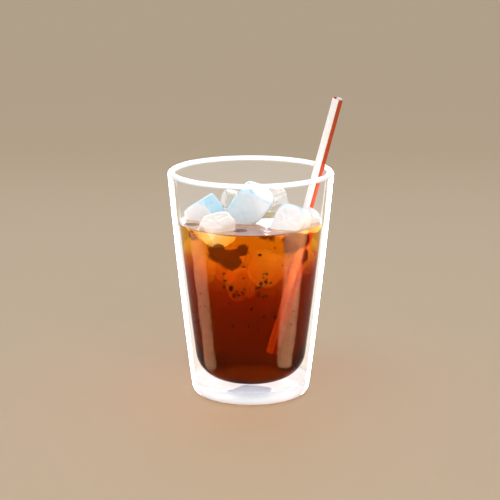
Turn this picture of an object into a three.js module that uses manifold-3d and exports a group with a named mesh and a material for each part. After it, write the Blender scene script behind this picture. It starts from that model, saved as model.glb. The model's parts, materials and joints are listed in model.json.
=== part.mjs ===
// A tumbler of cold brew coffee with ice cubes and a striped drinking straw.
// Millimetres, +Z up. The origin is the centre of the foot, on the surface the glass stands on.

import * as THREE from "three";
import { mergeVertices } from "three/addons/utils/BufferGeometryUtils.js";
import Module from "manifold-3d";

const wasm = await Module();
wasm.setup();

// Driving dimensions of the glass
const glassHeight = 123;
const rimRadius = 44.5;
const footRadius = 31.4;
const wallBow = 0.6; // how far the side bulges past a straight cone, half way up
const rimWall = 4.0;
const footWall = 5.0;
const floorThickness = 8.5;
const outerCornerRadius = 4.5;
const innerCornerRadius = 15;

// Driving dimensions of the drink
const coffeeLevel = 94;
const meniscusRise = 1.1;
const meniscusReach = 3;
const meniscusSteps = 3;
const clearance = 0.3; // gap between pieces that touch

// Driving dimensions of the straw
const strawRadius = 2.9;
const strawWall = 0.5;
const strawLength = 149.8;
const strawFoot = new THREE.Vector3(10.4, 20.3, 16.9); // centre of the lower end
const strawAtRim = new THREE.Vector3(36.7, 5.9, glassHeight); // where the axis passes the mouth

// Facets around the axis, and along each curve
const glassSides = 64;
const strawSides = 20;
const wallSteps = 6;
const cornerSteps = 5;
const lipSteps = 6;
const iceDetail = 4;

// Driving dimensions of the ice. A cube has six sides a little out of square and eight corners melted back
const iceRounding = 16; // power of the blend between facets: higher is crisper
const sideSkew = 0.14; // how far a side's normal may stray
const sideSpread = 0.06; // how far a side's distance may stray, as a share of it
const cornerSkew = 0.35;
const cornerReach = 0.84; // where a melted corner lies, as a share of the half diagonal
const cornerSpread = 0.08;

// Ice cubes that break the surface: middle, half sizes, turn in degrees and a seed for the facets
const iceCubes = [
  { name: "left_front", at: [-17, -19, 94], half: [8.2, 7.4, 6.8], turn: [16, -12, 28], seed: 11 },
  { name: "left_back", at: [-24, 7, 96.6], half: [7.6, 8, 9.2], turn: [0, -30, 60], seed: 25 },
  { name: "centre", at: [-0.8, -0.6, 104], half: [8.3, 8.3, 10.4], turn: [23, 34, 71], seed: 37 },
  { name: "right_front", at: [21.4, -14.6, 96.2], half: [7.5, 7.4, 8.8], turn: [-20, 20, 75], seed: 41 },
  { name: "right_back", at: [13.2, 21.5, 95.6], half: [8.5, 8.3, 9.6], turn: [24, -18, 10], seed: 59 },
  { name: "back", at: [-7.8, 25.1, 95.8], half: [9, 7.5, 9.7], turn: [-12, 8, -16], seed: 67 },
  { name: "chip", at: [30.9, -0.8, 95.6], half: [4.6, 4.6, 5.2], turn: [14, 20, 34], seed: 73 },
];

const degrees = Math.PI / 180;
const lerp = THREE.MathUtils.lerp;

// Side wall of the glass
function outerRadius(z) {
  const t = z / glassHeight;
  return lerp(footRadius, rimRadius, t) + wallBow * 4 * t * (1 - t);
}

function innerRadius(z) {
  return outerRadius(z) - lerp(footWall, rimWall, z / glassHeight);
}

// Lean of a wall from the vertical, from its radius just below and just above z
function lean(radiusAt, z) {
  return Math.atan((radiusAt(z + 1) - radiusAt(z - 1)) / 2);
}

function arc(centreR, centreZ, radius, from, to, steps) {
  const points = [];
  for (let i = 0; i <= steps; i += 1) {
    const angle = lerp(from, to, i / steps);
    const r = centreR + radius * Math.cos(angle);
    const z = centreZ + radius * Math.sin(angle);
    points.push(new THREE.Vector2(r, z));
  }
  return points;
}

// Rounded corner between a floor and the wall that rises from it, and the height where it joins the wall
function floorCorner(radiusAt, floorZ, radius) {
  const slope = lean(radiusAt, floorZ + radius);
  const centreZ = floorZ + radius;
  const joinZ = centreZ - radius * Math.sin(slope);
  const centreR = radiusAt(joinZ) - radius * Math.cos(slope);
  return { points: arc(centreR, centreZ, radius, -Math.PI / 2, -slope, cornerSteps), joinZ };
}

// Points on a wall strictly between two heights
function wallPoints(radiusAt, fromZ, toZ, steps) {
  const points = [];
  for (let i = 1; i < steps; i += 1) {
    const z = lerp(fromZ, toZ, i / steps);
    points.push(new THREE.Vector2(radiusAt(z), z));
  }
  return points;
}

// A solid turned about +Z from a profile of (radius, height), which ends on the axis or closes on itself
function turned(profile, sides) {
  const geometry = new THREE.LatheGeometry(profile, sides);
  geometry.rotateX(Math.PI / 2);
  return geometry;
}

function glassGeometry() {
  const outerCorner = floorCorner(outerRadius, 0, outerCornerRadius);
  const innerCorner = floorCorner(innerRadius, floorThickness, innerCornerRadius);
  const lipRadius = rimWall / 2;
  const lipZ = glassHeight - lipRadius;
  const lip = arc(outerRadius(lipZ) - lipRadius, lipZ, lipRadius, 0, Math.PI, lipSteps);
  const profile = [
    new THREE.Vector2(0, 0),
    ...outerCorner.points,
    ...wallPoints(outerRadius, outerCorner.joinZ, lipZ, wallSteps),
    ...lip,
    ...wallPoints(innerRadius, lipZ, innerCorner.joinZ, wallSteps),
    ...innerCorner.points.reverse(),
    new THREE.Vector2(0, floorThickness),
  ];
  return turned(profile, glassSides);
}

// The drink before anything is cut from it: it fills the glass to its level and creeps up the wall
function drinkGeometry() {
  const radiusAt = (z) => innerRadius(z) - clearance;
  const corner = floorCorner(radiusAt, floorThickness + clearance, innerCornerRadius - clearance);
  const edgeZ = coffeeLevel + meniscusRise;
  const meniscus = [];
  for (let i = 0; i <= meniscusSteps; i += 1) {
    const inward = i / meniscusSteps;
    const z = coffeeLevel + meniscusRise * (1 - inward) ** 2;
    meniscus.push(new THREE.Vector2(radiusAt(z) - meniscusReach * inward, z));
  }
  const profile = [
    new THREE.Vector2(0, floorThickness + clearance),
    ...corner.points,
    ...wallPoints(radiusAt, corner.joinZ, edgeZ, wallSteps),
    ...meniscus,
    new THREE.Vector2(0, coffeeLevel),
  ];
  return turned(profile, glassSides);
}

// Repeatable random numbers from 0 to 1
const randomFactor = 16807;
const randomModulus = 2 ** 31 - 1;

function randomFrom(seed) {
  let state = seed;
  return () => {
    state = (state * randomFactor) % randomModulus;
    return state / randomModulus;
  };
}

// Facets of one ice cube: six sides a little out of square, and corners that have melted back
const seedStride = 7919; // keeps the draws of neighbouring seeds apart

function iceFacets(half, seed) {
  const random = randomFrom(seed * seedStride);
  const spread = (amount) => (random() * 2 - 1) * amount;
  const facets = [];
  for (let axis = 0; axis < 3; axis += 1) {
    for (const side of [-1, 1]) {
      const normal = new THREE.Vector3(spread(sideSkew), spread(sideSkew), spread(sideSkew));
      normal.setComponent(axis, side);
      facets.push({ normal: normal.normalize(), distance: half[axis] * (1 + spread(sideSpread)) });
    }
  }
  const halfDiagonal = Math.hypot(...half);
  for (const x of [-1, 1]) {
    for (const y of [-1, 1]) {
      for (const z of [-1, 1]) {
        const normal = new THREE.Vector3(x, y, z);
        normal.add(new THREE.Vector3(spread(cornerSkew), spread(cornerSkew), spread(cornerSkew)));
        const distance = halfDiagonal * (cornerReach + spread(cornerSpread));
        facets.push({ normal: normal.normalize(), distance });
      }
    }
  }
  return facets;
}

// An ice cube, blended round its facets, in place. grow makes it larger all round, to cut room for it
function iceGeometry(cube, grow = 0) {
  const facets = iceFacets(cube.half, cube.seed);
  const geometry = new THREE.IcosahedronGeometry(1, iceDetail);
  const position = geometry.getAttribute("position");
  const point = new THREE.Vector3();
  for (let i = 0; i < position.count; i += 1) {
    point.fromBufferAttribute(position, i).normalize();
    let sum = 0;
    for (const { normal, distance } of facets) {
      sum += Math.max(0, point.dot(normal) / (distance + grow)) ** iceRounding;
    }
    point.multiplyScalar(sum ** (-1 / iceRounding));
    position.setXYZ(i, point.x, point.y, point.z);
  }
  const [turnX, turnY, turnZ] = cube.turn.map((angle) => angle * degrees);
  const turn = new THREE.Matrix4().makeRotationFromEuler(new THREE.Euler(turnX, turnY, turnZ));
  return geometry.applyMatrix4(turn.setPosition(...cube.at));
}

// The straw stands on the floor of the glass and leans on its rim
function strawPlacement() {
  const along = strawAtRim.clone().sub(strawFoot).normalize();
  const turn = new THREE.Quaternion().setFromUnitVectors(new THREE.Vector3(0, 0, 1), along);
  return new THREE.Matrix4().compose(strawFoot, turn, new THREE.Vector3(1, 1, 1));
}

// A tube along +Z. grow thickens its wall on both faces and both ends, to cut room for it
function tubeGeometry(grow = 0) {
  const outer = strawRadius + grow;
  const inner = strawRadius - strawWall - grow;
  const profile = [
    new THREE.Vector2(inner, -grow),
    new THREE.Vector2(outer, -grow),
    new THREE.Vector2(outer, strawLength + grow),
    new THREE.Vector2(inner, strawLength + grow),
    new THREE.Vector2(inner, -grow),
  ];
  return turned(profile, strawSides);
}

// Joining and cutting of closed solids
const mergeTolerance = 1e-4;

function toSolid(geometry) {
  const bare = geometry.clone();
  bare.deleteAttribute("normal");
  bare.deleteAttribute("uv");
  const merged = mergeVertices(bare, mergeTolerance);
  return new wasm.Manifold(
    new wasm.Mesh({
      numProp: 3,
      vertProperties: merged.getAttribute("position").array,
      triVerts: new Uint32Array(merged.index.array),
    }),
  );
}

function toGeometry(solid) {
  const mesh = solid.getMesh();
  const geometry = new THREE.BufferGeometry();
  geometry.setAttribute("position", new THREE.BufferAttribute(mesh.vertProperties, 3));
  geometry.setIndex(new THREE.BufferAttribute(mesh.triVerts, 1));
  geometry.computeVertexNormals();
  return geometry;
}

// The drink, cut round the ice and the wall of the straw
function coffeeGeometry() {
  const straw = tubeGeometry(clearance).applyMatrix4(strawPlacement());
  let coffee = toSolid(drinkGeometry()).subtract(toSolid(straw));
  for (const cube of iceCubes) {
    coffee = coffee.subtract(toSolid(iceGeometry(cube, clearance)));
  }
  return toGeometry(coffee);
}

const glassMaterial = new THREE.MeshStandardMaterial({
  color: 0xf4f7fa,
  roughness: 0.04,
  metalness: 0,
  transparent: true,
  opacity: 0.35,
});
const coffeeMaterial = new THREE.MeshStandardMaterial({ color: 0x5c1c04, roughness: 0.08, metalness: 0 });
const iceMaterial = new THREE.MeshStandardMaterial({ color: 0xe6f3fa, roughness: 0.15, metalness: 0 });
const strawMaterial = new THREE.MeshStandardMaterial({ color: 0xfdf9f2, roughness: 0.4, metalness: 0 });

function named(name, geometry, material) {
  const mesh = new THREE.Mesh(geometry, material);
  mesh.name = name;
  return mesh;
}

const straw = named("straw", tubeGeometry(), strawMaterial);
straw.applyMatrix4(strawPlacement());

const drink = new THREE.Group();
drink.add(named("glass", glassGeometry(), glassMaterial));
drink.add(named("coffee", coffeeGeometry(), coffeeMaterial));
drink.add(straw);
for (const cube of iceCubes) {
  drink.add(named(`ice_${cube.name}`, iceGeometry(cube), iceMaterial));
}

export default drink;
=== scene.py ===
import bpy
import bmesh
import json
import math
import random
import numpy as np
from mathutils import Matrix, Vector, noise

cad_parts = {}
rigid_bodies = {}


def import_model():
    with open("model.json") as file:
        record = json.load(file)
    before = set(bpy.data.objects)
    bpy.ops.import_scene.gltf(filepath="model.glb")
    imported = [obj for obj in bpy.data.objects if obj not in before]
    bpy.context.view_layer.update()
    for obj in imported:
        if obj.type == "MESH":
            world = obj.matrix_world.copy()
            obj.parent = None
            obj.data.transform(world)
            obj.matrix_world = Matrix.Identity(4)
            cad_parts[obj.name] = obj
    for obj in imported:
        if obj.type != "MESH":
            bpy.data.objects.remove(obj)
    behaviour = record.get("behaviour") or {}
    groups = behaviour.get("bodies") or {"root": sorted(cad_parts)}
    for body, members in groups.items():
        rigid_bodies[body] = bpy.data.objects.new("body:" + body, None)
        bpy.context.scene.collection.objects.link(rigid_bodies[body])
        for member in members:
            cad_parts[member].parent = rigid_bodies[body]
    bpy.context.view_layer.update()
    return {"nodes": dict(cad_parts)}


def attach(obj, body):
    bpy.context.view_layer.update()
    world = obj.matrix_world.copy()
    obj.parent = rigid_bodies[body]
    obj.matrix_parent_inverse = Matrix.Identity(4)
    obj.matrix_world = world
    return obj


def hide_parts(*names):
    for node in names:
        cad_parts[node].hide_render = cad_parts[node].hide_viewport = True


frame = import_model()
scene = bpy.context.scene
mm = 0.001  # sizes below are millimetres, meshes are metres
print("frame loaded,", len(frame["nodes"]), "solids")


# camera at the photograph's angle
viewDims = {"from": (0, -923, 293), "aim": (-0.4, 0, 78.7), "lens": 126.2, "sensor": 36}


def makeCamera():
    camera = bpy.data.objects.new("camera", bpy.data.cameras.new("camera"))
    scene.collection.objects.link(camera)
    camera.data.lens = viewDims["lens"]
    camera.data.sensor_width = viewDims["sensor"]
    camera.location = Vector(viewDims["from"]) * mm
    sight = (Vector(viewDims["aim"]) - Vector(viewDims["from"])) * mm
    camera.rotation_mode = "QUATERNION"
    camera.rotation_quaternion = sight.to_track_quat("-Z", "Y")
    scene.camera = camera


makeCamera()
print("camera placed")


# shader maths: a socket that takes part in sums
class Wire:
    def __init__(self, finish, socket):
        self.finish = finish
        self.socket = socket

    def sum(self, operation, first, second):
        return self.finish.node("Math", {"operation": operation}, {0: first, 1: second})

    def __add__(self, other):
        return self.sum("ADD", self, other)

    def __radd__(self, other):
        return self.sum("ADD", other, self)

    def __sub__(self, other):
        return self.sum("SUBTRACT", self, other)

    def __rsub__(self, other):
        return self.sum("SUBTRACT", other, self)

    def __mul__(self, other):
        return self.sum("MULTIPLY", self, other)

    def __rmul__(self, other):
        return self.sum("MULTIPLY", other, self)


class Finish:
    def __init__(self, name):
        self.material = bpy.data.materials.new(name)
        self.material.use_nodes = True
        self.tree = self.material.node_tree
        self.tree.nodes.clear()
        self.end = self.tree.nodes.new("ShaderNodeOutputMaterial")

    def node(self, kind, settings=None, inputs=None, output=0):
        made = self.tree.nodes.new("ShaderNode" + kind)
        for key, value in (settings or {}).items():
            if key == "stops":
                self.setStops(made.color_ramp, value)
            else:
                setattr(made, key, value)
        for key, value in (inputs or {}).items():
            self.feed(made.inputs[key], value)
        return Wire(self, made.outputs[output])

    def feed(self, socket, value):
        if isinstance(value, Wire):
            self.tree.links.new(value.socket, socket)
        elif socket.type == "RGBA":
            socket.default_value = (*value, 1)
        else:
            socket.default_value = value

    def setStops(self, ramp, stops):
        while len(ramp.elements) < len(stops):
            ramp.elements.new(1)
        for element, (place, colour) in zip(ramp.elements, stops):
            element.position = place
            element.color = (*colour, 1)

    def place(self):
        return self.node("TexCoord", output="Object")

    def axis(self, name):
        return self.node("SeparateXYZ", None, {0: self.place()}, name)

    def upward(self):  # 1 where a face looks straight up, 0 where it is upright
        normal = self.node("NewGeometry", output="Normal")
        return self.node("SeparateXYZ", None, {0: normal}, "Z")

    def between(self, value, low, high):  # 0 at low, 1 at high, eased
        settings = {"interpolation_type": "SMOOTHSTEP"}
        return self.node("MapRange", settings, {"Value": value, "From Min": low, "From Max": high})

    def above(self, low, high):  # the same by height, in millimetres
        return self.between(self.axis("Z"), low * mm, high * mm)

    def clamp(self, value):
        return self.node("Clamp", None, {"Value": value})

    def measure(self, operation, first, second):  # a number from two vectors
        return self.node("VectorMath", {"operation": operation}, {0: first, 1: second}, "Value")

    def cloud(self, scale, detail=3, roughness=0.5):
        inputs = {"Vector": self.place(), "Scale": scale, "Detail": detail, "Roughness": roughness}
        return self.node("TexNoise", None, inputs)

    def blend(self, share, first, second):  # of two colours
        return self.node("Mix", {"data_type": "RGBA"}, {0: share, 6: first, 7: second}, 2)

    def attribute(self, name, output="Fac"):
        return self.node("Attribute", {"attribute_name": name}, None, output)

    def bump(self, height, strength, distance):
        return self.node("Bump", None, {"Height": height, "Strength": strength, "Distance": distance})

    def principled(self, **inputs):
        named = {key.replace("_", " "): value for key, value in inputs.items()}
        return self.node("BsdfPrincipled", None, named)

    def mixShader(self, share, first, second):
        return self.node("MixShader", None, {0: share, 1: first, 2: second})

    def letLampsThrough(self, shader, colour):  # light from lamps passes, tinted
        lamp = self.node("LightPath", None, None, "Is Shadow Ray")
        return self.mixShader(lamp, shader, self.node("BsdfTransparent", None, {"Color": colour}))

    def show(self, shader, volume=None):
        self.feed(self.end.inputs["Surface"], shader)
        if volume:
            self.feed(self.end.inputs["Volume"], volume)
        return self.material


# mesh helpers
def lerp(a, b, t):
    return a + (b - a) * t


def placesOf(mesh):  # its points in millimetres, a row each
    places = np.empty(len(mesh.vertices) * 3)
    mesh.vertices.foreach_get("co", places)
    return places.reshape(-1, 3) / mm


def setPlaces(mesh, places):
    mesh.vertices.foreach_set("co", (places * mm).ravel())
    mesh.update()


def addPiece(name, mesh, finish, slot, *nodes):
    piece = bpy.data.objects.new(name, mesh)
    scene.collection.objects.link(piece)
    mesh.materials.clear()
    mesh.materials.append(finish)
    mesh.shade_smooth()
    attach(piece, "root")
    if nodes:
        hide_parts(*nodes)
    return piece


def spin(name, profile, around, closed=False):  # turns (radius, height) points about +Z
    points, rings = [], []
    for radius, height in profile:
        if radius == 0:
            rings.append([len(points)] * around)
            points.append((0, 0, height * mm))
            continue
        rings.append(list(range(len(points), len(points) + around)))
        for step in range(around):
            angle = 2 * math.pi * step / around
            points.append((radius * math.cos(angle) * mm, radius * math.sin(angle) * mm, height * mm))
    if closed:
        rings.append(rings[0])
    faces = []
    for lower, upper in zip(rings, rings[1:]):
        for step in range(around):
            after = (step + 1) % around
            corners = (lower[step], lower[after], upper[after], upper[step])
            face = list(dict.fromkeys(corners))
            if len(face) > 2:
                faces.append(face)
    mesh = bpy.data.meshes.new(name)
    mesh.from_pydata(points, [], faces)
    mesh.validate()
    return mesh


def addAttribute(mesh, name, values):
    attribute = mesh.attributes.new(name, "FLOAT", "POINT")
    attribute.data.foreach_set("value", values.astype(np.float32))


def arcPoints(centreR, centreZ, radius, start, end, steps):
    angles = [lerp(start, end, step / steps) for step in range(steps + 1)]
    return [(centreR + radius * math.cos(a), centreZ + radius * math.sin(a)) for a in angles]


# the tumbler
coffeeLevel = 94  # height of the drink, which wets the glass up to there
glassDims = {
    "height": 123,
    "rimRadius": 44.5,
    "footRadius": 31.4,
    "wallBow": 0.6,
    "rimWall": 4.0,
    "footWall": 5.0,
    "floorThickness": 8.5,
    "outerCorner": 4.5,
    "innerCorner": 15,
    "footRing": 0.5,  # rings that part the flat foot and floor, as shares of the foot's radius
    "floorRing": 0.25,
    "around": 256,
    "wallRows": 60,
    "cornerRows": 16,
    "lipRows": 20,
    "tint": (0.975, 0.98, 0.99),
    "baseTint": (0.84, 0.85, 0.91),
    "baseTop": (5, 10.5),  # heights between which the milky base, a painted highlight, turns clear
    "rimFrom": (120.4, 121.4),  # and the clear wall turns into a milky rim, also a painted highlight
    "highlightMilks": ((0.96, 0.98, 1), (0.92, 0.94, 1)),
    "rimHighlightMilk": 0.9,
    "baseHighlightMilk": 0.75,
    "footShadeMilk": 0.2,
    "footShade": (0.15, 0.12, 0.28),  # faint lavender patch of painted shade under the foot
    "footShadeAt": (0, -5, 0),
    "footShadeEdge": (11, 13.5),
    "footShadeWander": 12,
    "footShadeHeight": (1, 2),
    "shadow": (0.94, 0.95, 0.96),  # tint of the lamp light that passes
}


def outerRadius(z):
    t = z / glassDims["height"]
    return lerp(glassDims["footRadius"], glassDims["rimRadius"], t) + glassDims["wallBow"] * 4 * t * (1 - t)


def innerRadius(z):
    return outerRadius(z) - lerp(glassDims["footWall"], glassDims["rimWall"], z / glassDims["height"])


def floorCorner(radiusAt, floorZ, radius):  # rounded corner from a floor into its wall
    middleZ = floorZ + radius
    reach = 1  # how far up and down the wall's slope is taken
    slope = math.atan((radiusAt(middleZ + reach) - radiusAt(middleZ - reach)) / (2 * reach))
    joinZ = middleZ - radius * math.sin(slope)
    middleR = radiusAt(joinZ) - radius * math.cos(slope)
    return arcPoints(middleR, middleZ, radius, -math.pi / 2, -slope, glassDims["cornerRows"]), joinZ


def wallPoints(radiusAt, fromZ, toZ):
    rows = glassDims["wallRows"]
    heights = [lerp(fromZ, toZ, row / rows) for row in range(1, rows)]
    return [(radiusAt(z), z) for z in heights]


def glassFinish():
    dims = glassDims
    f = Finish("clearGlass")
    waterMarks = f.between(f.cloud(scale=38, detail=4), low=0.5, high=0.75)
    base = 1 - f.above(*dims["baseTop"])
    rim = f.above(*dims["rimFrom"])
    # painted shade: a lavender disc under the foot stands in for the shading of the thick base
    near, far = dims["footShadeEdge"]
    wander = (f.cloud(scale=60, detail=2) - 0.5) * (dims["footShadeWander"] * mm)
    fromFootShade = f.measure("DISTANCE", f.place(), Vector(dims["footShadeAt"]) * mm) + wander
    footShade = (1 - f.between(fromFootShade, near * mm, far * mm)) * (1 - f.above(*dims["footShadeHeight"]))
    clear = f.principled(
        Base_Color=f.blend(base, dims["tint"], dims["baseTint"]),
        Roughness=0.01 + waterMarks * 0.012,
        IOR=1.012,
        Transmission_Weight=1.0,
        Coat_Weight=f.attribute("dry"),
        Coat_Roughness=0.015,
        Coat_IOR=1.1,
    )
    # painted highlight: milky white in the rim and base stands in for the bright reflections of thick clear
    # glass
    milkyHighlight = f.principled(
        Base_Color=f.blend(footShade, f.blend(waterMarks, *dims["highlightMilks"]), dims["footShade"]),
        Roughness=0.12,
        IOR=1.05,
        Transmission_Weight=0.15,
        Coat_Weight=1 - base,
        Coat_Roughness=0.02,
    )
    highlightMilk = rim * dims["rimHighlightMilk"] + base * dims["baseHighlightMilk"] + footShade * dims["footShadeMilk"]
    return f.show(f.letLampsThrough(f.mixShader(f.clamp(highlightMilk), clear, milkyHighlight), dims["shadow"]))


def dryShare(mesh):  # 1 on the outside and above the coffee, 0 on the wetted inside
    places = placesOf(mesh)
    z = places[:, 2]
    middle = (outerRadius(z) + innerRadius(z)) / 2
    inside = (np.hypot(places[:, 0], places[:, 1]) < middle) & (z > glassDims["floorThickness"] / 2)
    return np.where(inside & (z < coffeeLevel), 0.0, 1.0)


def makeGlass():
    dims = glassDims
    floorZ = dims["floorThickness"]
    outer, outerJoin = floorCorner(outerRadius, 0, dims["outerCorner"])
    inner, innerJoin = floorCorner(innerRadius, floorZ, dims["innerCorner"])
    lipRadius = dims["rimWall"] / 2
    lipZ = dims["height"] - lipRadius
    lip = arcPoints(outerRadius(lipZ) - lipRadius, lipZ, lipRadius, 0, math.pi, dims["lipRows"])
    profile = [(0, 0), (dims["footRadius"] * dims["footRing"], 0), *outer]
    profile += [*wallPoints(outerRadius, outerJoin, lipZ), *lip]
    profile += [*wallPoints(innerRadius, lipZ, innerJoin), *reversed(inner)]
    profile += [(dims["footRadius"] * dims["floorRing"], floorZ), (0, floorZ)]
    mesh = spin("tumbler", profile, dims["around"])
    addAttribute(mesh, "dry", dryShare(mesh))
    addPiece("tumbler", mesh, glassFinish(), "glass", "glass")


makeGlass()
print("tumbler made")


# ice, blended round the same facets as the solids
iceDims = {
    # half sizes, turns in degrees, and how blue and how clear a cube is
    "columns": ("name", "at", "half", "turn", "seed", "cool", "clear"),
    "floating": [
        ("left_front", (-17, -19, 94), (8.2, 7.4, 6.8), (16, -12, 28), 11, 0.12, 0.03),
        ("left_back", (-24, 7, 96.6), (7.6, 8, 9.2), (0, -30, 60), 25, 1.1, 0.15),
        ("centre", (-0.8, -0.6, 104), (8.3, 8.3, 10.4), (23, 34, 71), 37, 1.15, 0.12),
        ("right_front", (21.4, -14.6, 96.2), (7.5, 7.4, 8.8), (-20, 20, 75), 41, 1.25, 0.12),
        ("right_back", (13.2, 21.5, 95.6), (8.5, 8.3, 9.6), (24, -18, 10), 59, 0.3, 0.88),
        ("back", (-7.8, 25.1, 95.8), (9, 7.5, 9.7), (-12, 8, -16), 67, 0.3, 0.92),
        ("chip", (30.9, -0.8, 95.6), (4.6, 4.6, 5.2), (14, 20, 34), 73, 1.4, 0.3),
    ],
    "sunk": [
        ("sunk_middle", (8, -15, 73), (8.6, 8.4, 9.6), (12, 20, 40), 83),
        ("sunk_left", (-23, -13, 72), (5, 6, 8.2), (-20, 14, 20), 97),
        ("sunk_low", (-6, -2.5, 60.5), (7.6, 8, 8.4), (30, -14, 12), 101),
        ("sunk_right", (27.5, -2, 75), (5, 6, 8.6), (8, -16, 30), 109),
        ("sunk_back", (-12, 18, 69), (9, 9, 9.5), (18, 24, -20), 113),
    ],
    "floatingRounding": 16,  # the higher, the crisper the edges
    "sunkRounding": 5,
    "sideSkew": 0.14,
    "sideSpread": 0.06,
    "cornerSkew": 0.35,
    "cornerReach": 0.84,
    "cornerSpread": 0.08,
    "dimple": 1.0,  # depth of the melted hollows
    "dimpleScale": 2.1,
    "dimpleShift": (1, 0.7, 1.3),
    "detail": 6,
    "cutDetail": 5,
    "bite": 0.25,  # how far the ice reaches into the coffee, so that no air shows
    "wallGap": 0.25,  # ice beside the wall has melted flat along it
    "dryFrom": (93.5, 96),  # under the coffee the ice has no blue
    "facetBlue": 0.5,
    "edgeBlue": 0.45,
    "hazeBlue": 0.2,
    "topLightBlue": 0.15,
    "topEdgeLightBlue": 0.5,
    "smooth": 0.06,  # roughness where the ice is clean, and what haze adds
    "hazeRough": 0.2,
    "hazeRelief": 0.7,
    "fineRelief": 0.3,
    # painted light: the brighter, warmer white of ice under the coffee
    "wetLitWhite": (1, 0.98, 0.94),
    "warmWhite": (0.82, 0.76, 0.69),
    "coolWhite": (0.81, 0.89, 0.96),
    "blue": (0.42, 0.74, 0.9),
    "clearTint": (0.9, 0.94, 0.95),
    "sunkTints": ((1, 0.84, 0.55), (1, 0.76, 0.45)),
    "shadow": (0.8, 0.84, 0.87),
}


def cubesFrom(rows, rounding):
    return [{**dict(zip(iceDims["columns"], row)), "rounding": rounding} for row in rows]


floatingIce = cubesFrom(iceDims["floating"], iceDims["floatingRounding"])
sunkIce = cubesFrom(iceDims["sunk"], iceDims["sunkRounding"])


def drawsFrom(seed):  # the same repeatable draws as the solids
    start, factor, limit = 7919, 16807, 2**31 - 1
    state = seed * start
    while True:
        state = state * factor % limit
        yield state / limit


def iceFacets(cube):
    draws = drawsFrom(cube["seed"])

    def spread(amount):
        return (next(draws) * 2 - 1) * amount

    normals, reaches = [], []
    for axis in range(3):
        for side in (-1, 1):
            normal = [spread(iceDims["sideSkew"]) for _ in range(3)]
            normal[axis] = side
            normals.append(normal)
            reaches.append(cube["half"][axis] * (1 + spread(iceDims["sideSpread"])))
    halfDiagonal = math.hypot(*cube["half"])
    for x in (-1, 1):
        for y in (-1, 1):
            for z in (-1, 1):
                normals.append([part + spread(iceDims["cornerSkew"]) for part in (x, y, z)])
                reaches.append(halfDiagonal * (iceDims["cornerReach"] + spread(iceDims["cornerSpread"])))
    normals = np.array(normals)
    return normals / np.linalg.norm(normals, axis=1)[:, None], np.array(reaches)


def iceReach(cube, directions, grow=0):  # radius of the cube along each direction, and each facet's share
    normals, reaches = iceFacets(cube)
    rounding = cube["rounding"]
    pulls = np.maximum(0, directions @ normals.T / (reaches + grow)) ** rounding
    total = pulls.sum(1)
    return total ** (-1 / rounding), pulls / total[:, None]


def iceTurn(cube):
    x, y, z = (math.radians(angle) for angle in cube["turn"])
    turn = Matrix.Rotation(x, 3, "X") @ Matrix.Rotation(y, 3, "Y") @ Matrix.Rotation(z, 3, "Z")
    return np.array(turn)


def dimples(directions, seed):  # shallow melted hollows, only ever inwards
    shift = Vector([part * seed for part in iceDims["dimpleShift"]])
    waves = [noise.noise(Vector(d) * iceDims["dimpleScale"] + shift) for d in directions]
    return -iceDims["dimple"] * np.array(waves) ** 2


def iceMesh(cube, detail, grow=0):
    shape = bmesh.new()
    bmesh.ops.create_icosphere(shape, subdivisions=detail, radius=1)
    mesh = bpy.data.meshes.new("ice_" + cube["name"])
    shape.to_mesh(mesh)
    shape.free()
    directions = placesOf(mesh)
    directions /= np.linalg.norm(directions, axis=1)[:, None]
    reach, shares = iceReach(cube, directions, grow)
    reach = reach + dimples(directions, cube["seed"])
    places = (directions * reach[:, None]) @ iceTurn(cube).T + np.array(cube["at"])
    room = innerRadius(places[:, 2]) - iceDims["wallGap"] + grow
    places[:, :2] *= np.minimum(1, room / np.hypot(places[:, 0], places[:, 1]))[:, None]
    random.seed(cube["seed"])
    tones = np.array([random.random() for _ in range(shares.shape[1])])
    addAttribute(mesh, "tone", shares @ tones)
    for look in ("cool", "clear"):
        addAttribute(mesh, look, np.full(len(directions), cube.get(look, 0)))
    addAttribute(mesh, "ridge", 1 - shares.max(1))
    setPlaces(mesh, places)
    return mesh


def iceRough(f, haze):
    return iceDims["smooth"] + f.between(haze, low=0.4, high=0.7) * iceDims["hazeRough"]


def iceRelief(f, haze):
    fine = f.cloud(scale=700, roughness=0.6)
    height = haze * iceDims["hazeRelief"] + fine * iceDims["fineRelief"]
    return f.bump(height, strength=0.25, distance=1 * mm)


def blueShare(f, haze, bluish):  # bluest on some facets, along edges and on top; the blue on top is painted light, set by which way a face looks
    dims = iceDims
    facet = f.between(f.attribute("tone"), low=0.5, high=0.8)
    edge = f.between(f.attribute("ridge"), low=0.25, high=0.6)
    hazy = f.between(haze, low=0.5, high=0.62)
    # painted light: up-facing faces are tinted blue
    top = f.between(f.upward(), low=0.35, high=0.7)
    share = facet * dims["facetBlue"] + edge * dims["edgeBlue"] + hazy * dims["hazeBlue"]
    return (share + top * (dims["topLightBlue"] + edge * dims["topEdgeLightBlue"])) * bluish


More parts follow.
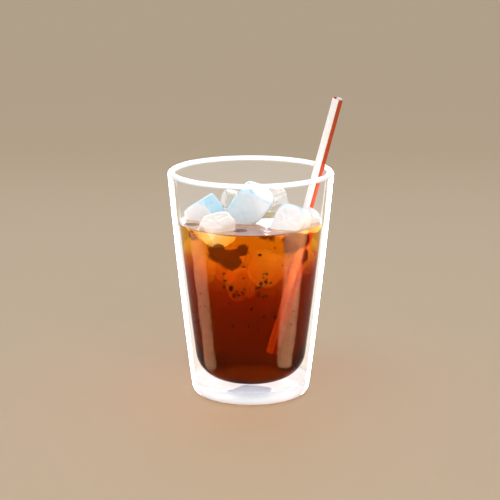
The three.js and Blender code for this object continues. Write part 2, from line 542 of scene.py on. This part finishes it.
def floatingFinish():
    dims = iceDims
    f = Finish("cloudyIce")
    haze = f.cloud(scale=160, detail=5, roughness=0.6)
    relief = iceRelief(f, haze)
    bluish = f.attribute("cool")
    dry = f.above(*dims["dryFrom"])
    plain = f.blend(f.clamp(bluish), dims["warmWhite"], dims["coolWhite"])
    # painted light: under the coffee the ice gets a brighter, warmer white, standing in for light glowing
    # through the coffee
    plain = f.blend(dry, dims["wetLitWhite"], plain)
    colour = f.blend(f.clamp(blueShare(f, haze, bluish) * dry), plain, dims["blue"])
    wetCoat = {"Coat_Weight": 1.0, "Coat_Roughness": 0.04, "Coat_IOR": 1.25}
    cloudy = f.principled(Base_Color=colour, Roughness=iceRough(f, haze), IOR=1.2, Normal=relief, **wetCoat)
    clear = f.principled(
        Base_Color=dims["clearTint"],
        Roughness=0.05,
        IOR=1.12,
        Transmission_Weight=1.0,
        Normal=relief,
        **wetCoat,
    )
    shader = f.mixShader(f.attribute("clear"), cloudy, clear)
    return f.show(f.letLampsThrough(shader, dims["shadow"]))


def sunkFinish():
    f = Finish("sunkIce")
    haze = f.cloud(scale=160, detail=5, roughness=0.6)
    shader = f.principled(
        Base_Color=f.blend(haze, *iceDims["sunkTints"]),
        Roughness=iceRough(f, haze),
        IOR=1.065,
        Transmission_Weight=0.9,
        Normal=iceRelief(f, haze),
    )
    return f.show(f.letLampsThrough(shader, iceDims["shadow"]))


def makeIce():
    detail = iceDims["detail"]
    cloudyIce = floatingFinish()
    paleIce = sunkFinish()
    for cube in floatingIce:
        name = cube["name"]
        addPiece("cube_" + name, iceMesh(cube, detail), cloudyIce, "ice", "ice_" + name)
    for cube in sunkIce:
        addPiece("cube_" + cube["name"], iceMesh(cube, detail), paleIce, "ice")


makeIce()
print("ice made,", len(floatingIce), "floating and", len(sunkIce), "sunk")


# the straw
strawDims = {
    "radius": 2.9,
    "wall": 0.5,
    "length": 149.8,
    "foot": (10.4, 20.3, 16.9),
    "atRim": (36.7, 5.9, 123),
    "around": 64,
    "rows": 60,
    "lipRows": 8,
    "bite": 0.15,  # how far its wall reaches into the coffee
    "stripeMiddle": 56,  # degrees from the front, towards the right
    "stripeHalf": 46,
    "stripeBlur": 0.02,
    "whites": ((0.95, 0.95, 0.94), (0.91, 0.9, 0.89)),
    "reds": ((0.56, 0.09, 0.025), (0.47, 0.07, 0.02)),
}


def strawPlacement():
    foot = Vector(strawDims["foot"])
    along = (Vector(strawDims["atRim"]) - foot).normalized()
    lean = Vector((0, 0, 1)).rotation_difference(along)
    return Matrix.Translation(foot * mm) @ lean.to_matrix().to_4x4()


def strawTube(name, shrink=0):
    dims = strawDims
    outer = dims["radius"] - shrink
    inner = dims["radius"] - dims["wall"] + shrink
    lip = (outer - inner) / 2
    low = shrink + lip
    high = dims["length"] - shrink - lip
    heights = [lerp(low, high, row / dims["rows"]) for row in range(1, dims["rows"])]
    profile = arcPoints(outer - lip, low, lip, -math.pi, 0, dims["lipRows"])
    profile += [(outer, z) for z in heights]
    profile += arcPoints(outer - lip, high, lip, 0, math.pi, dims["lipRows"])
    profile += [(inner, z) for z in reversed(heights)]
    return spin(name, profile, dims["around"], closed=True)


def strawFinish():
    dims = strawDims
    f = Finish("stripedPlastic")
    middle = math.radians(dims["stripeMiddle"])
    facing = (math.sin(middle), -math.cos(middle), 0)
    across = f.measure("DOT_PRODUCT", f.attribute("side", "Vector"), facing)
    across = f.node("Math", {"operation": "ABSOLUTE"}, {0: across})  # a stripe on both sides
    edge = math.cos(math.radians(dims["stripeHalf"]))
    stripe = f.between(across, edge - dims["stripeBlur"], edge + dims["stripeBlur"])
    mottle = f.cloud(scale=90, detail=4)
    shader = f.principled(
        Base_Color=f.blend(stripe, f.blend(mottle, *dims["whites"]), f.blend(mottle, *dims["reds"])),
        Roughness=0.36 + mottle * 0.12,
        IOR=1.3,
        Specular_IOR_Level=0.3,
        Normal=f.bump(f.cloud(scale=900, detail=2), strength=0.08, distance=0.5 * mm),
    )
    return f.show(shader)


def makeStraw():
    mesh = strawTube("straw_tube")
    sideShade = np.array([Vector((v.co.x, v.co.y, 0)).normalized() for v in mesh.vertices])
    attribute = mesh.attributes.new("side", "FLOAT_VECTOR", "POINT")
    attribute.data.foreach_set("vector", sideShade.astype(np.float32).ravel())
    mesh.transform(strawPlacement())
    addPiece("straw_tube", mesh, strawFinish(), "straw", "straw")


makeStraw()
print("straw made")


# the coffee, cut round the ice and the straw
coffeeDims = {
    "intoWall": 0.3,  # so that no air gap shows behind the glass
    "wallRise": 1.1,
    "wallReach": 3,
    "creepRise": 0.7,  # against the ice and the straw
    "creepReach": 1.3,
    "creepClear": 0.2,  # but not so close to the wall
    "surfaceRings": 70,
    "crispEdge": 0.05,  # close rings keep the top edge from shading round
    "shadeSwirls": [  # middle and radius of the murky swirls, at the wall and on the surface: partly denser coffee, partly painted shade of submerged ice
        (-18, -32.5, 84.5, 6.5),
        (-10.5, -35.5, 81.5, 6.5),
        (-4, -36.8, 87, 4),
        (22, -30, 89.5, 8),
        (28.5, -24.5, 89.5, 4.5),
        (29, -23, 80.5, 4.5),
        (-30.5, -22.5, 92, 3.8),
        (17, 33, 85, 6.5),
        (9, 36, 82.5, 5.5),
        (-12, 35, 87, 6),
        (-5.5, -21, 94, 5),
        (-31, -5, 94, 4.5),
        (11, -16, 94, 2.2),
        (4, 30, 94, 5),
    ],
    "shadeSwirlEdge": (0.7, 1.05),  # shares of its radius between which a swirl fades
    "shadeSwirlWander": 7,
    "murkShade": (0.06, 0.026, 0.012),
    "murkShadeHides": 0.8,  # share of the shiny surface lost in a swirl
    "tintFrom": 10,  # height where the tints start, up to the level
    "tints": [  # share of the depth from the floor up, and the tint there
        (0.0, (0.02, 0.004, 0.002)),
        (0.08, (0.12, 0.024, 0.002)),
        (0.3, (0.155, 0.028, 0.002)),
        (0.5, (0.24, 0.037, 0.003)),
        (0.6, (0.38, 0.073, 0.006)),
        (0.76, (0.95, 0.6, 0.07)),
        (0.88, (1, 0.9, 0.5)),
        (1.0, (1, 1, 0.9)),
    ],
    "tintWander": 20,
    "sideShadeDrop": 14,  # the tints lie this much lower at both sides, as painted shade
    "sideShadeSquares": (300, 1000),  # from and to this far from the middle, squared
    "sideShadeTop": (70, 84),
    "sheenFrom": (92.5, 93.5),  # the surface's shine and its film of painted reflection start here
    "sheenFilms": ((0.28, 0.262, 0.238), (0.36, 0.335, 0.298)),
    "sheenFilmShare": 0.5,
    "sheenFilmSwirl": 0.2,
    "siltShades": ((0.02, 0.005, 0.002), (0.05, 0.012, 0.003)),  # thin, on the floor: dark silt that also serves as painted shade at the bottom
    "siltShadeTop": (8.4, 10.5),
    "siltShadeShare": 0.93,
    "absorbed": (0.967, 0.84, 0.37),
    "density": 150.0,  # how strongly a metre of it absorbs
    "shadow": (1, 1, 1),
}


def gapToIce(points, cubes):  # distance to the nearest cube, along the line to its middle
    gaps = np.full(len(points), np.inf)
    for cube in cubes:
        away = (points - np.array(cube["at"])) @ iceTurn(cube)
        far = np.linalg.norm(away, axis=1)
        gaps = np.minimum(gaps, far - iceReach(cube, away / far[:, None])[0])
    return gaps


def gapToStraw(points):
    foot = np.array(strawDims["foot"])
    along = np.array(strawDims["atRim"]) - foot
    along = along / np.linalg.norm(along)
    away = points - foot
    away = away - np.outer(away @ along, along)
    return np.linalg.norm(away, axis=1) - strawDims["radius"]


def creepAt(points):  # how far the surface climbs beside ice and straw
    gaps = np.minimum(gapToIce(points, floatingIce), np.abs(gapToStraw(points)))
    return coffeeDims["creepRise"] * np.exp(-np.maximum(gaps, 0) / coffeeDims["creepReach"])


def coffeeBody():
    dims = coffeeDims
    floorZ = glassDims["floorThickness"] - dims["intoWall"]

    def radiusAt(z):
        return innerRadius(z) + dims["intoWall"]

    corner, join = floorCorner(radiusAt, floorZ, glassDims["innerCorner"] + dims["intoWall"])
    edgeZ = coffeeLevel + dims["wallRise"]
    edgeR = radiusAt(edgeZ)
    crisp = dims["crispEdge"]
    profile = [(0, floorZ), (glassDims["footRadius"] * glassDims["floorRing"], floorZ), *corner]
    profile += wallPoints(radiusAt, join, edgeZ)
    profile += [(edgeR, edgeZ - crisp), (edgeR, edgeZ), (edgeR - crisp, edgeZ - crisp / 2)]
    for ring in range(1, dims["surfaceRings"]):
        inward = edgeR * ring / dims["surfaceRings"]
        rise = dims["wallRise"] * max(0, 1 - inward / dims["wallReach"]) ** 2
        profile.append((edgeR - inward, coffeeLevel + rise))
    profile.append((0, coffeeLevel))
    return spin("cold_brew", profile, glassDims["around"])


def raiseSurface(mesh):
    places = placesOf(mesh)
    touch = 0.01  # so that rounding leaves no point of the surface out
    top = places[:, 2] > coffeeLevel - touch
    inside = np.hypot(places[:, 0], places[:, 1]) < innerRadius(coffeeLevel) - coffeeDims["creepClear"]
    lifted = top & inside
    places[lifted, 2] += creepAt(places[lifted])
    setPlaces(mesh, places)


def cut(piece, meshes):  # takes all the meshes out of a piece at once
    tools = bmesh.new()
    for mesh in meshes:
        tools.from_mesh(mesh)
        bpy.data.meshes.remove(mesh)
    toolMesh = bpy.data.meshes.new("cutters")
    tools.to_mesh(toolMesh)
    tools.free()
    tool = bpy.data.objects.new("cutters", toolMesh)
    scene.collection.objects.link(tool)
    step = piece.modifiers.new("cut", "BOOLEAN")
    step.operation = "DIFFERENCE"
    step.solver = "MANIFOLD"
    step.object = tool
    result = bpy.data.meshes.new_from_object(piece.evaluated_get(bpy.context.evaluated_depsgraph_get()))
    piece.modifiers.clear()
    piece.data = result
    bpy.data.objects.remove(tool)
    bpy.data.meshes.remove(toolMesh)


def murkyShadeShare(f):  # 1 in the murky swirls, which are partly painted shade
    place = f.place()
    wander = (f.cloud(scale=190, detail=2) - 0.5) * (coffeeDims["shadeSwirlWander"] * mm)
    fadeFrom, fadeTo = coffeeDims["shadeSwirlEdge"]
    total = 0
    for x, y, z, radius in coffeeDims["shadeSwirls"]:
        far = f.measure("DISTANCE", place, Vector((x, y, z)) * mm) + wander
        total = total + (1 - f.between(far, radius * mm * fadeFrom, radius * mm * fadeTo))
    return f.clamp(total)


def depthAndShadeTint(f, swirl):  # dark low down and at both sides, amber near the top; the side darkening is painted shade, and the rise to amber is partly painted light from above
    dims = coffeeDims
    x = f.axis("X")
    near, far = dims["sideShadeSquares"]
    # painted shade: the tints drop lower at both sides
    sideShade = f.between(x * x, near * mm * mm, far * mm * mm) * (1 - f.above(*dims["sideShadeTop"]))
    level = f.axis("Z") + (swirl - 0.5) * (dims["tintWander"] * mm) - sideShade * (dims["sideShadeDrop"] * mm)
    heights = {"Value": level, "From Min": dims["tintFrom"] * mm, "From Max": coffeeLevel * mm}
    depth = f.node("MapRange", None, heights)
    return f.node("ValToRGB", {"stops": dims["tints"]}, {"Fac": depth})


def coffeeFinish():
    dims = coffeeDims
    f = Finish("coldBrewCoffee")
    swirl = f.cloud(scale=45, roughness=0.55)
    murkyShade = murkyShadeShare(f)
    # painted shade: the murky swirls darken the coffee, partly where submerged ice lies in shadow
    tint = f.blend(murkyShade, depthAndShadeTint(f, swirl), dims["murkShade"])
    surface = f.between(f.upward(), low=0.3, high=0.6) * f.above(*dims["sheenFrom"])
    bare = surface * (1 - murkyShade * dims["murkShadeHides"])
    drink = f.principled(
        Base_Color=f.blend(f.attribute("outside"), (1, 1, 1), tint),  # no tint round the ice
        Roughness=0.0,
        IOR=1.07,
        Transmission_Weight=1.0,
        Coat_Weight=bare,
        Coat_Roughness=0.0,
        Coat_IOR=1.5,
    )
    # painted shade: a dark silt layer over the coffee's floor darkens the bottom
    siltShade = f.principled(Base_Color=f.blend(swirl, *dims["siltShades"]), Roughness=0.6)
    settledShade = (1 - f.above(*dims["siltShadeTop"])) * dims["siltShadeShare"]
    # painted reflection: a pale film on the surface stands in for the light it would mirror
    sheenFilm = f.principled(Base_Color=f.blend(swirl, *dims["sheenFilms"]), Roughness=0.02)
    sheenSkin = bare * (dims["sheenFilmShare"] + swirl * dims["sheenFilmSwirl"])  # painted reflection: pale where the surface would mirror the light behind it
    shader = f.mixShader(sheenSkin, f.mixShader(settledShade, drink, siltShade), sheenFilm)
    inside = f.node("VolumeAbsorption", None, {"Color": dims["absorbed"], "Density": dims["density"]})
    return f.show(f.letLampsThrough(shader, dims["shadow"]), inside)


def makeCoffee():
    mesh = coffeeBody()
    raiseSurface(mesh)
    addAttribute(mesh, "outside", np.ones(len(mesh.vertices)))  # the hollows round the ice stay 0
    piece = addPiece("cold_brew", mesh, coffeeFinish(), "coffee", "coffee")
    cutters = [iceMesh(cube, iceDims["cutDetail"], -iceDims["bite"]) for cube in floatingIce + sunkIce]
    tube = strawTube("tube", strawDims["bite"])
    tube.transform(strawPlacement())
    cut(piece, [*cutters, tube])
    piece.data.shade_smooth()
    print("coffee made,", len(piece.data.polygons), "faces")


makeCoffee()


# fine grounds that hang in the coffee
groundsDims = {
    "drifts": [  # across, height, spread and number of grains, close behind the front wall
        (7.2, 69.9, 1.5, 9),
        (3, 65.6, 0.7, 3),
        (5.6, 61.2, 1.1, 6),
        (-10.5, 64.8, 0.6, 3),
        (-7.4, 61.6, 1.0, 5),
        (-3, 61.6, 1.2, 4),
        (-0.2, 54.1, 0.4, 2),
        (7.2, 50.2, 0.4, 2),
        (-9.5, 44.7, 0.4, 2),
        (-0.5, 44.7, 0.3, 2),
    ],
    "driftDepth": (1.2, 3),
    "loose": 40,  # scattered all round
    "looseDepth": (1.5, 14),
    "looseHeights": (36, 84),
    "size": (0.55, 1.2),
    "breadth": (0.6, 1),
    "thickness": (0.5, 0.9),
    "lumps": 0.45,
    "lumpScale": 1.6,
    "detail": 2,
    "apart": 0.4,  # least gap to ice and straw
    "seed": 5,
    "colours": ((0.012, 0.005, 0.002), (0.035, 0.014, 0.006)),
}


def grainPlaces():
    dims = groundsDims
    for across, height, spread, count in dims["drifts"]:
        for _ in range(count):
            x = random.gauss(across, spread)
            z = random.gauss(height, spread)
            radius = innerRadius(z) - random.uniform(*dims["driftDepth"])
            yield Vector((x, -math.sqrt(radius**2 - x**2), z))
    for step in range(dims["loose"]):
        z = random.uniform(*dims["looseHeights"])
        radius = innerRadius(z) - random.uniform(*dims["looseDepth"])
        angle = 2 * math.pi * (step + random.random()) / dims["loose"]
        yield Vector((radius * math.cos(angle), radius * math.sin(angle), z))


def groundsMesh():
    dims = groundsDims
    random.seed(dims["seed"])
    grains = bmesh.new()
    for middle in grainPlaces():
        size = random.uniform(*dims["size"])
        stretch = Vector((1, random.uniform(*dims["breadth"]), random.uniform(*dims["thickness"])))
        angle = random.uniform(0, math.pi)
        turn = Matrix.Rotation(angle, 3, Vector((random.random(), random.random(), 1)))
        here = np.array([middle])
        gap = min(gapToIce(here, floatingIce + sunkIce)[0], gapToStraw(here)[0])
        if gap < size + dims["apart"]:
            continue
        grain = bmesh.ops.create_icosphere(grains, subdivisions=dims["detail"], radius=size)
        for vert in grain["verts"]:
            lump = 1 + dims["lumps"] * noise.noise(vert.co * dims["lumpScale"] / size + middle)
            vert.co = (turn @ (vert.co * stretch * lump) + middle) * mm
    mesh = bpy.data.meshes.new("grounds")
    grains.to_mesh(mesh)
    grains.free()
    return mesh


def groundsFinish():
    f = Finish("wetGrounds")
    tone = f.cloud(scale=900)
    shader = f.principled(
        Base_Color=f.blend(tone, *groundsDims["colours"]),
        Roughness=0.45 + tone * 0.3,
        Normal=f.bump(tone, strength=0.4, distance=0.3 * mm),
    )
    return f.show(shader)


addPiece("coffee_grounds", groundsMesh(), groundsFinish(), "coffee")
print("grounds made")


# floor and studio light
studioDims = {
    "floorSize": 30000,
    "floorLevel": -0.3,
    "floorColours": ((0.46, 0.35, 0.235), (0.5, 0.4, 0.28)),
    "floorMottle": 0.06,
    "skyColour": (0.98, 0.99, 1),
    "skyStrength": 0.9,
}


def makeFloor():
    dims = studioDims
    half = dims["floorSize"] / 2 * mm
    level = dims["floorLevel"] * mm
    mesh = bpy.data.meshes.new("floor")
    corners = [(-half, -half, level), (half, -half, level), (half, half, level), (-half, half, level)]
    mesh.from_pydata(corners, [], [(0, 1, 2, 3)])
    f = Finish("paleFloor")
    shade = f.blend(f.cloud(scale=6) * dims["floorMottle"], *dims["floorColours"])
    mesh.materials.append(f.show(f.principled(Base_Color=shade, Roughness=0.8, Specular_IOR_Level=0.2)))
    floor = bpy.data.objects.new("floor", mesh)
    scene.collection.objects.link(floor)


def makeSky():
    sky = bpy.data.worlds.new("sky")
    scene.world = sky
    sky.use_nodes = True
    back = sky.node_tree.nodes["Background"]
    back.inputs["Color"].default_value = (*studioDims["skyColour"], 1)
    back.inputs["Strength"].default_value = studioDims["skyStrength"]


# lamps: place, aim or else straight up, size, brightness, the rays that meet them and the pieces they light
allRays = ("diffuse", "glossy", "transmission")
matt = ("diffuse",)
shine = ("glossy",)
through = ("transmission",)
warm = (1, 0.48, 0.26)
cool = (0.58, 0.84, 1)
white = (1, 1, 1)
underGlass = (0, 0, -0.1)
onGlass = {"rays": shine, "on": "tumbler"}
strip = {"aim": (0, 0, 42), "colour": warm, **onGlass}
edgeCard = {"size": (750, 750), "spin": 45, "glow": 12, **onGlass}
overhead = {"at": (-350, -500, 900), "aim": (0, 0, 80), "size": (700, 500)}
baseFill = {"rays": matt, "on": "tumbler", "colour": cool}
backCard = {"rays": through, "on": "tumbler"}
lamps = {
    "top": {**overhead, "glow": 1.7, "rays": allRays},
    "front": {"at": (300, -800, 330), "aim": (0, 0, 90), "size": (500, 400), "glow": 2.4, "rays": matt},
    "rear": {"at": (0, 620, 420), "aim": (0, 0, 110), "size": (1100, 560), "glow": 2.5, "rays": shine},
    "table_near": {"at": underGlass, "round": 880, "glow": 0.45, "rays": through},
    "table_far": {"at": underGlass, "round": 3000, "glow": 0.15, "rays": through},
    "left_strip": {"at": (-58, -30, 42), "size": (24, 84), "glow": 41, **strip},
    "right_strip": {"at": (54.5, -43, 42), "size": (34, 84), "glow": 66, **strip},
    "edge_left": {"at": (-29, 518, -0.1), **edgeCard},
    "edge_right": {"at": (29, 518, -0.1), **edgeCard},
    "foot_ring": {"at": underGlass, "round": 88, "glow": 12, **onGlass},
    "base_fill": {"at": (0, -600, 80), "aim": (0, 0, 10), "size": (500, 160), "glow": 7, **baseFill},
    "back_card": {"at": (0, 620, 290), "aim": (0, 0, 94), "size": (900, 220), "glow": 3.2, **backCard},
    "ice_glint": {**overhead, "glow": 8, "rays": shine, "on": "cube"},
}


def shineOnly(lamp, start):  # lights only the pieces whose names start so
    lit = bpy.data.collections.new(lamp.name + "_on")
    for piece in scene.objects:
        if piece.name.startswith(start):
            lit.objects.link(piece)
    lamp.light_linking.receiver_collection = lit


def makeLamp(name, box):
    light = bpy.data.lights.new(name, "AREA")
    light.shape = "DISK" if "round" in box else "RECTANGLE"
    light.color = box.get("colour", white)
    width, height = box["size"] if "size" in box else (box["round"], box["round"])
    light.size = width * mm
    light.size_y = height * mm
    filled = math.pi / 4 if "round" in box else 1
    light.energy = box["glow"] * math.pi * light.size * light.size_y * filled
    lamp = bpy.data.objects.new(name, light)
    scene.collection.objects.link(lamp)
    lamp.location = Vector(box["at"]) * mm
    sight = Vector(box["aim"]) - Vector(box["at"]) if "aim" in box else Vector((0, 0, 1))
    spun = Matrix.Rotation(math.radians(box.get("spin", 0)), 4, "Z").to_quaternion()
    lamp.rotation_mode = "QUATERNION"
    lamp.rotation_quaternion = sight.to_track_quat("-Z", "Y") @ spun
    lamp.visible_camera = False
    for kind in allRays:
        setattr(lamp, "visible_" + kind, kind in box["rays"])
    if "on" in box:
        shineOnly(lamp, box["on"])


lightPaths = {  # enough bounces to get through glass, coffee and ice
    "use_denoising": True,
    "max_bounces": 32,
    "transmission_bounces": 32,
    "glossy_bounces": 8,
    "diffuse_bounces": 4,
    "transparent_max_bounces": 48,
    "sample_clamp_indirect": 9,
}


def setRender():
    scene.view_settings.view_transform = "Standard"
    for key, value in lightPaths.items():
        setattr(scene.cycles, key, value)


makeFloor()
makeSky()
for name, box in lamps.items():
    makeLamp(name, box)
setRender()
print("floor and", len(lamps), "lamps set")
